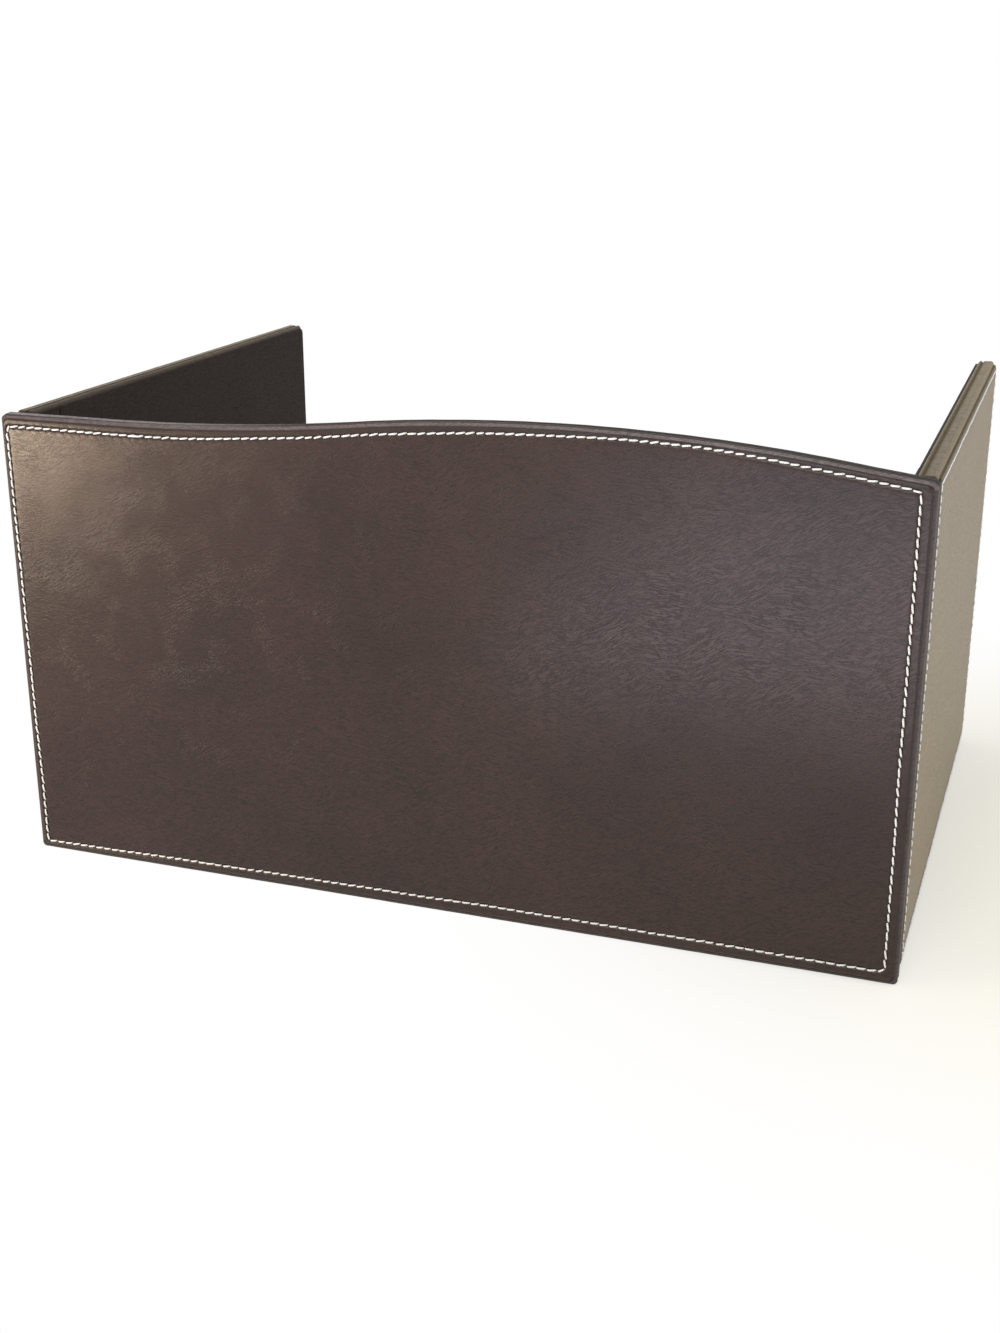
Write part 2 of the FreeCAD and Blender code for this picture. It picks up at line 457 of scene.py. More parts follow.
@dataclass(frozen=True)
class Outline:
    """Edge of one flat piece of a panel: its ends, its bottom and the top of its ends, under the arch."""

    left: float
    right: float
    bottom: float
    top: float
    arch: Arch

    corner_points: int = 9

    @classmethod
    def of_node(cls, node: str, placement: Placement, arch: Arch) -> "Outline":
        """Read a piece's outline from the box of its CAD node.

        Args:
            node: Name of the node.
            placement: Where its panel stands.
            arch: Rise of its top edge.

        Returns:
            The outline.
        """
        low, high = (np.array(corner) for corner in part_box(node))
        ends = sorted(float((corner - placement.origin) @ placement.along) for corner in (low, high))
        return cls(ends[0], ends[1], float(low[2]), float(high[2]) - arch.rise, arch)

    @property
    def half_height(self) -> float:
        """Inset at which nested loops close up on the middle line."""
        return (self.top - self.bottom) / 2

    def stations(self, spacing: float) -> tuple[Array, Array, Array, Array]:
        """Lay out the points of a loop, counter-clockwise from the low left corner.

        Each side runs between two corner centres and each corner turns a quarter circle about one, so every
        point has two corners, the share of the way between them, and the angle of the outward normal.

        Args:
            spacing: Distance between points on the sides.

        Returns:
            First corner, second corner, share and angle of each point.
        """
        lengths = (self.right - self.left, self.top - self.bottom) * 2
        bend = np.arange(self.corner_points) / self.corner_points
        still = np.zeros_like(bend)
        stretches = []
        for side, length in enumerate(lengths):
            step = np.arange(round(length / spacing))
            turn = (side - 1) * QUARTER
            after = (side + 1) % len(lengths)
            stretches.append((side + 0 * step, after + 0 * step, step / len(step), turn + 0.0 * step))
            pivot = np.full(len(bend), after)
            stretches.append((pivot, pivot, still, turn + QUARTER * bend))
        first, second, share, angle = (np.concatenate(part) for part in zip(*stretches))
        return first, second, share, angle

    def loops(
        self, inset: Array, radius: Array, spacing: float, shift: Array | None = None
    ) -> tuple[Array, Array]:
        """Draw nested round-cornered loops inside the outline.

        With the corner centres drawn in by inset + radius + shift, a point is (1 - share) * first centre +
        share * second centre + radius * normal. The arch then raises it in proportion to how far up the piece
        it is, so the top edge follows the arch and the bottom edge stays level.

        Args:
            inset: How far each point is drawn in, as loops by points, or loops by one.
            radius: Corner radius, in the same form.
            spacing: Distance between points on the sides.
            shift: Extra inset of the four corners, along and upright, as loops by four by two.

        Returns:
            Distances along the panel and heights, as loops by points.
        """
        first, second, share, angle = self.stations(spacing)
        point = np.arange(len(angle))
        draw = inset + radius
        left, right, bottom, top = self.left, self.right, self.bottom, self.top
        corners = ((left, right, right, left), (bottom, bottom, top, top))
        inwards = ((1, -1, -1, 1), (1, 1, -1, -1))
        if shift is None:
            shift = np.zeros((1, len(corners[0]), len(corners)))
        placed = []
        for axis, normal in enumerate((np.cos(angle), np.sin(angle))):
            drawn = draw[None] + shift[:, :, axis].T[:, :, None]
            edges, signs = (np.array(values[axis])[:, None, None] for values in (corners, inwards))
            centre = edges + signs * drawn
            centre = np.broadcast_to(centre, (len(centre), draw.shape[0], len(angle)))
            between = (1 - share) * centre[first, :, point].T + share * centre[second, :, point].T
            placed.append(between + radius * normal)
        along, level = placed
        return along, level + self.arch.height(along) * (level - bottom) / (top - bottom)


def round_corner(
    centre: tuple[float, float], radius: float, start: float, end: float, steps: int
) -> Array:
    """Points of a circular arc of a profile.

    Args:
        centre: Inset and depth of the arc's centre.
        radius: Radius of the arc.
        start: First angle in degrees, counted from growing inset towards growing depth.
        end: Last angle in degrees.
        steps: Number of points.

    Returns:
        Inset and depth of each point.
    """
    turn = np.radians(np.linspace(start, end, steps))
    return np.stack([centre[0] + radius * np.cos(turn), centre[1] + radius * np.sin(turn)], axis=1)


def bell(distance: Array, half_width: float) -> Array:
    """Gaussian section of a groove: exp(-(distance / half width)^2)."""
    return np.exp(-((distance / half_width) ** 2))


def ripple(turn: Array, cycles: Sequence[int], seed: int) -> Array:
    """Sum of sines that closes up after one turn, between -1 and 1.

    Args:
        turn: Shares of the way round, from 0 to 1.
        cycles: Number of waves in one turn, for each sine.
        seed: Seed of the sines' starting points.

    Returns:
        The mean of sin(2 pi (cycles * turn + start)) over the sines.
    """
    starts = np.random.default_rng(seed).random(len(cycles))
    waves = np.sin(2 * math.pi * (np.multiply.outer(np.array(cycles), turn) + starts[:, None]))
    return waves.mean(axis=0)


def slow_swell(along: Array, height: Array, seed: int) -> Array:
    """Unevenness of a glued sheet: the mean of plane waves in seeded directions.

    Args:
        along: Distances along the panel.
        height: Heights above the table.
        seed: Seed of the waves.

    Returns:
        Values between -1 and 1.
    """
    count, shortest, longest = 7, 38 * MM, 120 * MM
    source = np.random.default_rng(seed)
    lengths = source.uniform(shortest, longest, count)
    bearing = source.uniform(0, math.pi, count)
    start = source.random(count)
    total = np.zeros_like(along)
    for length, way, phase in zip(lengths, bearing, start):
        total += np.sin(2 * math.pi * ((along * math.cos(way) + height * math.sin(way)) / length + phase))
    return total / count


def grid_faces(rows: int, columns: int, wrap_rows: bool) -> Array:
    """Corner numbers of the quads of a grid whose columns close up into rings.

    Args:
        rows: Number of rings.
        columns: Number of points in a ring.
        wrap_rows: Whether the last ring joins the first.

    Returns:
        Four corner numbers for each quad.
    """
    row = np.arange(rows if wrap_rows else rows - 1)[:, None]
    column = np.arange(columns)[None, :]
    next_row, next_column = (row + 1) % rows, (column + 1) % columns
    corners = ((row, column), (row, next_column), (next_row, next_column), (next_row, column))
    return np.stack([down * columns + across for down, across in corners], axis=-1).reshape(-1, len(corners))


def mesh_object(
    name: str,
    points: Array,
    quads: Array,
    caps: Array | None = None,
    crease: float = 40.0,
    groove: Array | None = None,
    turned: bool = False,
) -> Piece:
    """Make a smooth-shaded mesh object at the origin, with doubles merged and faces of no area gone.

    Args:
        name: Name of the object and its mesh.
        points: Vertex coordinates.
        quads: Four corner numbers for each quad.
        caps: Corner numbers of any other faces.
        crease: Angle in degrees past which an edge is sharp.
        groove: How much painted shade each vertex has, up to 1 in grooves, recesses and the shaded parts of
            the edge band, if the piece has any.
        turned: Whether the faces are turned the other way out.

    Returns:
        The object, linked to the scene.
    """
    mesh = bpy.data.meshes.new(name)
    faces = [*quads.tolist(), *([] if caps is None else caps.tolist())]
    mesh.from_pydata(points.reshape(-1, 3), [], [face[::-1] for face in faces] if turned else faces)
    if groove is not None:
        layer = mesh.attributes.new(SHADE_ATTRIBUTE, "FLOAT", "POINT")
        layer.data.foreach_set("value", np.clip(groove, 0, 1).astype(np.float32).ravel())
    work = bmesh.new()
    work.from_mesh(mesh)
    bmesh.ops.remove_doubles(work, verts=work.verts, dist=WELD)
    bmesh.ops.dissolve_degenerate(work, edges=work.edges, dist=WELD)
    work.to_mesh(mesh)
    work.free()
    mesh.shade_smooth()
    mesh.set_sharp_from_angle(angle=math.radians(crease))
    made = bpy.data.objects.new(name, mesh)
    bpy.context.scene.collection.objects.link(made)
    return made


def set_finish(piece: Piece, material: Material) -> None:
    """Give a piece one material in place of any that it has.

    Args:
        piece: The piece.
        material: Its finish.
    """
    piece.data.materials.clear()
    piece.data.materials.append(material)
    LOG.info("%s: %d faces, %s", piece.name, len(piece.data.polygons), material.name)


def dress(piece: Piece, material: Material, slot: Slot, *nodes: str) -> Piece:
    """Give a piece its finish and hide the CAD nodes that it stands for.

    Args:
        piece: The piece.
        material: Its finish.
        slot: Its slot of the record; not used.
        nodes: Names of the CAD nodes that it replaces.

    Returns:
        The same piece.
    """
    set_finish(piece, material)
    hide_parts(*nodes)
    return piece


@dataclass(frozen=True)
class Seam:
    """Stitched border of a facing: where it runs and how it is sewn. A spread is of what the hand varies."""

    margin: float = 3.0 * MM
    corner: float = 0.6 * MM
    pitch: float = 4.15 * MM
    wander: float = 0.25 * MM
    wander_cycles: tuple[int, ...] = (5, 9, 14, 23)
    stitch_share: float = 0.88
    slant: float = 0.24 * MM
    place_spread: float = 0.02
    length_spread: float = 0.05
    slant_spread: float = 0.35
    lift_spread: float = 0.04 * MM
    thread_width: float = 0.86 * MM
    thread_height: float = 0.75 * MM
    taper: float = 0.35
    dip: float = 0.42 * MM
    dip_power: int = 6
    channel: float = 0.42 * MM
    channel_half_width: float = 0.9 * MM
    hole: float = 0.16 * MM
    hole_half_width: float = 0.7 * MM
    pucker: float = 0.08 * MM
    # How far the puckers reach into the field and towards the edge
    pucker_reach: tuple[float, float] = (1.6 * MM, 0.8 * MM)
    # Places of the stitches that tie the thread off, in stitches, and how far they lie above the others
    knots: tuple[float, float] = (-0.2, 0.25)
    knot_lift: float = 0.5 * MM
    ring_sides: int = 7
    ring_count: int = 7
    sharp_edge: float = 75.0


@dataclass(frozen=True)
class Cover:
    """How the facing's leather lies over its card: its relief, its painted shade, and the rings of its mesh.
    """

    crown: float = 0.2 * MM
    pillow: float = 0.12 * MM
    pillow_reach: float = 4.0 * MM
    swell: float = 0.09 * MM
    swell_reach: float = 12.0 * MM
    # Painted shade in the seam's channel and along the rolled edge: how dark, and how far in from the edge
    seam_shade: float = 0.7
    # Share of the seam's painted shade that lies all along it. The rest lies at the needle holes
    even_shade: float = 0.75
    edge_shade: float = 0.9
    edge_shade_reach: float = 0.45 * MM
    back_flat: float = 0.3 * MM
    back_round: float = 0.25 * MM
    back_points: int = 4
    # Rings as shares of the way from the edge to the seam, in mm beside it, and as shares from there inwards
    to_seam: tuple[float, ...] = (0.25, 0.5, 0.72, 0.88)
    beside_seam: tuple[float, ...] = (
        -0.9, -0.7, -0.5, -0.32, -0.16, 0, 0.16, 0.32, 0.5, 0.7, 0.95, 1.25, 1.6, 2.0
    )
    to_middle: tuple[float, ...] = (
        0.006, 0.015, 0.03, 0.055, 0.095, 0.15, 0.22, 0.31, 0.42, 0.54, 0.66, 0.78, 0.9, 1.0
    )


@dataclass(frozen=True)
class Binding:
    """How the edge band lies round the board: its roll, the line pressed into it, and the shade painted on
    it.
    """

    roll: float = 1.8 * MM
    side_rings: int = 25
    sunk: float = 0.10 * MM
    line_depth: float = 0.7 * MM
    line_half_width: float = 0.6 * MM
    # Half width of the painted shade along the pressed line
    shade_half_width: float = 0.9 * MM
    # Insets that count as the flat of the band, and where the painted shade of the ledge under the facing
    # starts and is full
    flat: float = 0.3 * MM
    ledge_start: float = 1.3 * MM
    ledge_run: float = 0.4 * MM
    ledge_shade: float = 0.95
    waver: float = 0.05 * MM
    waver_cycles: tuple[int, ...] = (17, 31, 58, 93)


@dataclass(frozen=True)
class Layers:
    """Depths of a panel's layers behind its outer face, and the thickness of the band round its edge."""

    facing_back: float
    lining_back: float
    lining_face: float
    band: float


@dataclass(frozen=True)
class Handwork:
    """What differs from panel to panel, because the screen is sewn and covered by hand, and the painted shade
    of each panel's edge band. Lengths are in mm.

    Attributes:
        turned_line: Depth of the line pressed into the edge band behind the outer face, along the panel.
        thread_lift: How far the middle of the thread lies above the leather.
        seed: Seed of the small unevenness.
        corners: Extra inset of the seam's corners, along and upright, round from the low left one.
        bows: Extra inset of the seam at the middle of each side, round from the bottom.
        top_row: Extra inset of the seam's top row, along the panel.
        painted_top_shade: Painted shade on the flat of the edge band on top: how dark it is along the panel.
        painted_side_shade: Painted shade on the band's other three sides: how dark it is.
        tied_off: Shares of the way along the panel at which the thread is tied off on the top row.
    """

    turned_line: Course
    thread_lift: float
    seed: int
    corners: Course = ((0.0, 0.0),) * 4
    bows: tuple[float, float, float, float] = (0.0,) * 4
    top_row: Course = LEVEL_COURSE
    painted_top_shade: Course = LEVEL_COURSE
    painted_side_shade: float = 0.0
    tied_off: tuple[float, ...] = ()


@dataclass
class Panel:
    """One covered board with its stitched facing, its edge band and its lining."""

    body: Body
    placement: Placement
    arch: Arch
    layers: Layers
    handwork: Handwork

    spacing: float = 0.6 * MM
    corner_radius: float = 2.6 * MM
    band_corner_radius: float = 1.9 * MM
    lining_corner_radius: float = 2.8 * MM
    # Power of the inset at which a corner's radius shrinks
    corner_shrink: int = 9
    leather: float = 0.7 * MM
    roll: float = 0.85 * MM
    roll_points: int = 9
    lining_roll_points: int = 8
    pocket_gap: float = 0.02 * MM
    lining_roll: float = 0.8 * MM
    lining_swell: float = 0.11 * MM
    lining_swell_reach: float = 15.0 * MM
    lining_rings: tuple[float, ...] = (
        0.01, 0.03, 0.06, 0.1, 0.16, 0.24, 0.33, 0.44, 0.55, 0.66, 0.77, 0.88, 1.0
    )
    top_side: int = 2
    seam: Seam = Seam()
    cover: Cover = Cover()
    binding: Binding = Binding()

    def node(self, layer: str) -> str:
        """Name of this panel's CAD node of a layer."""
        return f"{self.body.prefix}_{layer}"

    def outline(self, layer: str) -> Outline:
        """Outline of a layer, from its CAD node."""
        return Outline.of_node(self.node(layer), self.placement, self.arch)

    def swept(
        self,
        name: str,
        outline: Outline,
        inset: Array,
        depth: Array,
        corner: float,
        closed: bool,
        shift: Array | None = None,
        groove: Array | None = None,
    ) -> Piece:
        """Carry a profile round an outline.

        Ring i is the outline drawn in by inset[i], at depth[i] behind the panel's face. The corner radius
        shrinks to nothing at the middle line.

        Args:
            name: What the piece is, after the words for its panel.
            outline: Outline that the profile follows.
            inset: Insets, as rings by points or rings by one.
            depth: Depths, in the same form.
            corner: Corner radius at the outline itself.
            closed: Whether the profile is a closed loop, as on a band.
            shift: Extra inset of the four corners, as rings by four by two.
            groove: How much painted shade each point has.

        Returns:
            The piece, placed on its panel.
        """
        shrink = np.clip(1 - inset / outline.half_height, 0, 1) ** self.corner_shrink
        along, height = outline.loops(inset, corner * shrink, self.spacing, shift)
        points = self.placement.to_world(along, depth, height)
        quads = grid_faces(points.shape[0], points.shape[1], closed)
        turned = self.placement.left_handed
        piece = mesh_object(self.node(name), points, quads, groove=groove, turned=turned)
        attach(piece, self.body.value)
        return piece

    def seam_line(self, outline: Outline) -> tuple[Array, Array, Array, Array]:
        """Follow the seam round the facing.

        The seam's inset is its margin, plus a bow on each side, 4 s (1 - s) of it at the share s of the side,
        the top row's own course and a small wander. Its corners are shifted by the panel's own amounts.

        Args:
            outline: The facing's outline.

        Returns:
            The seam's inset at each point of a loop, its distance along the seam in whole stitches, and the
            distances along the panel and the heights of its points. All but the inset come back to the start.
        """
        first, _, share, angle = outline.stations(self.spacing)
        sides = np.array(self.handwork.bows)[first] * 4 * share * (1 - share)
        row = np.interp(1 - share, *np.array(self.handwork.top_row).T)
        bow = MM * (sides + np.where(first == self.top_side, row, 0))
        turn = np.arange(len(angle)) / len(angle)
        wander = self.seam.wander * ripple(turn, self.seam.wander_cycles, self.handwork.seed)
        inset = self.seam.margin + bow + wander
        corner = np.full((1, 1), self.seam.corner)
        along, height = outline.loops(inset[None, :], corner, self.spacing, self.corner_shift(np.ones(1)))
        along, height = (np.append(axis[0], axis[0, 0]) for axis in (along, height))
        steps = np.hypot(np.diff(along), np.diff(height))
        travelled = np.concatenate([[0.0], np.cumsum(steps)])
        stitches = round(travelled[-1] / self.seam.pitch)
        return inset, travelled / travelled[-1] * stitches, along, height

    def tied_off(
        self, outline: Outline, count: Array, along: Array, height: Array
    ) -> Array:
        """Find where two more stitches were sewn over the first ones to tie the thread off.

        Args:
            outline: The facing's outline.
            count: Distance of each point of the seam, in stitches.
            along: Distances of the points along the panel.
            height: Heights of the points.

        Returns:
            Places along the seam, in stitches.
        """
        at_top = np.where(height > (outline.bottom + outline.top) / 2, along, np.inf)
        reach = np.array(self.handwork.tied_off) * self.arch.width
        nearest = np.abs(at_top[None, :] - reach[:, None]).argmin(axis=1)
        return (count[nearest][:, None] + np.array(self.seam.knots)).ravel()

    def corner_shift(self, weight: Array) -> Array:
        """Extra inset of the corners of loops that go along with the seam by the given weights."""
        return weight[:, None, None] * np.array(self.handwork.corners)[None] * MM

    def facing(self, material: Material) -> Piece:
        """Build the outer leather: a tray over the card whose edge is rolled, with the seam pulled into it.

        The face's relief is the sum of a crown between the edge and the seam, a channel of Gaussian section
        along the seam with a deeper pit at every needle hole, small puckers that fade into the field, a
        pillow that rises past the seam and a slow swell over the whole field.

        Args:
            material: The outer leather.

        Returns:
            The facing.
        """
        seam, cover, outline = self.seam, self.cover, self.outline("facing")
        line, count, _, _ = self.seam_line(outline)
        count = count[:-1]
        back, rim, turn = self.layers.facing_back, self.leather + self.pocket_gap, cover.back_round
        edge = np.vstack([
            [(outline.half_height, self.leather), (rim, self.leather), (rim, back), (cover.back_flat, back)],
            round_corner((turn, back - turn), turn, 90, 180, cover.back_points)[1:],
            round_corner((self.roll, self.roll), self.roll, 180, 270, self.roll_points),
        ])
        to_seam, to_middle = np.array(cover.to_seam), np.array(cover.to_middle)
        beside_seam = np.array(cover.beside_seam) * MM
        fixed = np.concatenate([
            edge[:, 0],
            self.roll * (1 - to_seam) + beside_seam[0] * to_seam,
            beside_seam,
            beside_seam[-1] * (1 - to_middle) + outline.half_height * to_middle,
        ])
        with_line = np.concatenate([0 * edge[:, 0], to_seam, 1 + 0 * beside_seam, 1 - to_middle])
        inset = fixed[:, None] + with_line[:, None] * line[None, :]
        depth = np.zeros_like(inset)
        depth[: len(edge)] = edge[:, 1][:, None]

        off_seam = inset - line
        inside, outside = np.maximum(off_seam, 0), np.maximum(-off_seam, 0)
        near_hole = bell((count - np.round(count)) * seam.pitch, seam.hole_half_width)
        groove = bell(off_seam, seam.channel_half_width)
        crown = cover.crown * np.sin(math.pi * np.clip((inset - self.roll) / (line - self.roll), 0, 1))
        pillow = cover.pillow * (1 - np.exp(-inside / cover.pillow_reach))
        puckers = np.exp(-inside / seam.pucker_reach[0]) * np.exp(-outside / seam.pucker_reach[1])
        along, height = outline.loops(inset, np.zeros_like(inset), self.spacing)
        field = np.clip(off_seam / cover.swell_reach, 0, 1)
        swell = cover.swell * slow_swell(along, height, self.handwork.seed) * field
        sewn = seam.channel * groove + seam.hole * groove * near_hole + seam.pucker * puckers * near_hole
        relief = crown + pillow + swell - sewn
        relief[: len(edge)] = 0
        # Painted shade: darker in the seam's channel, more so at the needle holes, and along the rolled edge
        at_seam = cover.seam_shade * groove * (cover.even_shade + (1 - cover.even_shade) * near_hole)
        piece = self.swept(
            "leather_facing",
            outline,
            inset,
            depth - relief,
            self.corner_radius,
            closed=False,
            shift=self.corner_shift(with_line),
            groove=at_seam + cover.edge_shade * bell(inset, cover.edge_shade_reach),
        )
        return dress(piece, material, Slot.OUTER, self.node("facing"))

    def stitches(self, material: Material) -> Piece:
        """Sew the border: one short thread from each needle hole towards the next.

        Along a stitch t runs from -1 to 1. Its centre rises from the holes as 1 - t^6 and its section, an
        ellipse, thins as 1 - 0.35 t^6. Each stitch is laid slightly askew between its holes.

        Args:
            material: The thread.

        Returns:
            All stitches of the border, as one piece.
        """
        seam, outline = self.seam, self.outline("facing")
        _, count, along, height = self.seam_line(outline)
        total = round(count[-1])
        source = np.random.default_rng(self.handwork.seed)
        middle = np.arange(total) + HALF + source.normal(0, seam.place_spread, total)
        tied = self.tied_off(outline, count, along, height)
        middle = np.concatenate([middle, tied])
        total = len(middle)
        reach = seam.stitch_share / 2 * (1 + source.normal(0, seam.length_spread, total))
        start, end = (
            np.stack([np.interp(place, count, axis) for axis in (along, height)], axis=1)
            for place in (middle - reach, middle + reach)
        )
        run = end - start
        way = run / np.linalg.norm(run, axis=1, keepdims=True)
        side = np.stack([-way[:, 1], way[:, 0]], axis=1)
        skew = (seam.slant * (1 + source.normal(0, seam.slant_spread, total)))[:, None]
        lift = source.normal(0, seam.lift_spread, total)
        lift[total - len(tied):] += seam.knot_lift

        rings, sides = seam.ring_count, seam.ring_sides
        t = np.linspace(-1, 1, rings)
        turn = np.arange(sides) * 2 * math.pi / sides
        thin = (1 - seam.taper * t**seam.dip_power)[:, None]
        across = seam.thread_width / 2 * thin * np.cos(turn)
        proud = seam.thread_height / 2 * thin * np.sin(turn) - (seam.dip * t**seam.dip_power)[:, None]
        lay = (run / 2)[:, None, :] * t[:, None] + (side * skew)[:, None, :] * t[:, None]
        centre = (start + end)[:, None, :] / 2 + lay
        flat = centre[:, :, None, :] + side[:, None, None, :] * across[None, :, :, None]
        depth = -self.handwork.thread_lift * MM - proud[None] - lift[:, None, None]
        points = self.placement.to_world(flat[..., 0], depth, flat[..., 1])

        offset = rings * sides * np.arange(total)[:, None]
        quads = (grid_faces(rings, sides, False)[None] + offset[:, :, None]).reshape(-1, 4)
        ring = np.arange(sides)
        caps = np.vstack([ring[::-1] + offset, ring + (rings - 1) * sides + offset])
        name, turned = self.node("border_stitches"), self.placement.left_handed
        piece = mesh_object(name, points, quads, caps, crease=seam.sharp_edge, turned=turned)
        self.map_thread(piece, rings, sides)
        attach(piece, self.body.value)
        return dress(piece, material, Slot.THREAD, self.node("seam_thread"))

    def map_thread(self, piece: Piece, rings: int, sides: int) -> None:
        """Map the stitches: across the map is the way round the thread, up the map the way along it.

        Args:
            piece: The stitches.
            rings: Rings in a stitch.
            sides: Points in a ring.
        """
        mesh = piece.data
        corner, starts, sizes = (
            np.empty(len(items), dtype=np.int32) for items in (mesh.loops, mesh.polygons, mesh.polygons)
        )
        mesh.loops.foreach_get("vertex_index", corner)
        mesh.polygons.foreach_get("loop_start", starts)
        mesh.polygons.foreach_get("loop_total", sizes)
        round_share = (corner % sides) / sides
        along_share = (corner // sides % rings) / (rings - 1)
        face_of = np.repeat(np.arange(len(sizes)), sizes)
        low = np.minimum.reduceat(round_share, starts)[face_of]
        high = np.maximum.reduceat(round_share, starts)[face_of]
        wraps = (high - low > HALF) & (round_share < HALF) & (sizes[face_of] == 4)
        uv = np.stack([round_share + wraps, along_share], axis=1).astype(np.float32)
        layer = mesh.uv_layers.new(name=THREAD_MAP)
        layer.data.foreach_set("uv", uv.ravel())

    def edge_band(self, material: Material) -> Piece:
        """Build the leather band round the board's edges: rolled at both sides, with a line pressed into it.

        Args:
            material: The band's leather.

        Returns:
            The band.
        """
        binding, outline = self.binding, self.outline("edge_band")
        front, back, inner = self.layers.facing_back, self.layers.lining_back, self.layers.band
        roll = binding.roll
        side = np.linspace(back - roll, front + roll, binding.side_rings)[1:-1]
        sunk = binding.sunk * np.sin(math.pi * (side - front) / (back - front))
        profile = np.vstack([
            [(inner, back)],
            round_corner((roll, back - roll), roll, 90, 180, self.roll_points),
            np.stack([sunk, side], axis=1),
            round_corner((roll, front + roll), roll, 180, 270, self.roll_points),
            [(inner, front)],
        ])
        inset, depth = profile[:, :1], profile[:, 1:]
        along, _ = outline.loops(np.zeros((1, 1)), np.zeros((1, 1)), self.spacing)
        way = (along - outline.left) / (outline.right - outline.left)
        shares, depths = np.array(self.handwork.turned_line).T
        off_line = depth - np.interp(way, shares, depths * MM)
        # Painted shade on the band: along the pressed line, on the ledge under the facing, on the flat of the
        # top along the panel and on the other three sides
        at_top = outline.stations(self.spacing)[0] == self.top_side
        on_top = np.interp(way, *np.array(self.handwork.painted_top_shade).T) * (inset < binding.flat)
        dark = np.where(at_top, on_top, self.handwork.painted_side_shade)
        pressed = binding.line_depth * bell(off_line, binding.line_half_width)
        ledge = binding.ledge_shade * np.clip((inset - binding.ledge_start) / binding.ledge_run, 0, 1)
        turn = np.arange(along.shape[1]) / along.shape[1]
        waver = binding.waver * (1 + ripple(turn, binding.waver_cycles, self.handwork.seed + 1))
        piece = self.swept(
            "leather_edge_band",
            outline,
            inset + np.clip(1 - inset / inner, 0, 1) * (pressed + waver),
            np.broadcast_to(depth, pressed.shape),
            self.band_corner_radius,
            closed=True,
            groove=np.maximum(np.maximum(bell(off_line, binding.shade_half_width), ledge), dark),
        )
        return dress(piece, material, Slot.OUTER, self.node("edge_band"))

    def lining(self, material: Material) -> Piece:
        """Build the inner leather: a sheet with rolled edges that swells a little over the board.

        Args:
            material: The lining leather.

        Returns:
            The lining.
        """
        outline = self.outline("lining")
        back, face, roll = self.layers.lining_back, self.layers.lining_face, self.lining_roll
        middle = roll + (outline.half_height - roll) * np.array(self.lining_rings)
        profile = np.vstack([
            [(outline.half_height, back), (0.0, back)],
            round_corner((roll, face - roll), roll, 180, 90, self.lining_roll_points),
            np.stack([middle, np.full_like(middle, face)], axis=1),
        ])[::-1]
        inset, depth = profile[:, :1], profile[:, 1:]
        along, height = outline.loops(inset, np.zeros_like(inset), self.spacing)
        swell = self.lining_swell * slow_swell(along, height, self.handwork.seed + 2)
        ramp = np.clip((inset - roll) / self.lining_swell_reach, 0, 1) * (depth > back + WELD)
        corner = self.lining_corner_radius
        piece = self.swept("leather_lining", outline, inset, depth + swell * ramp, corner, closed=False)
        return dress(piece, material, Slot.LINING, self.node("lining"))


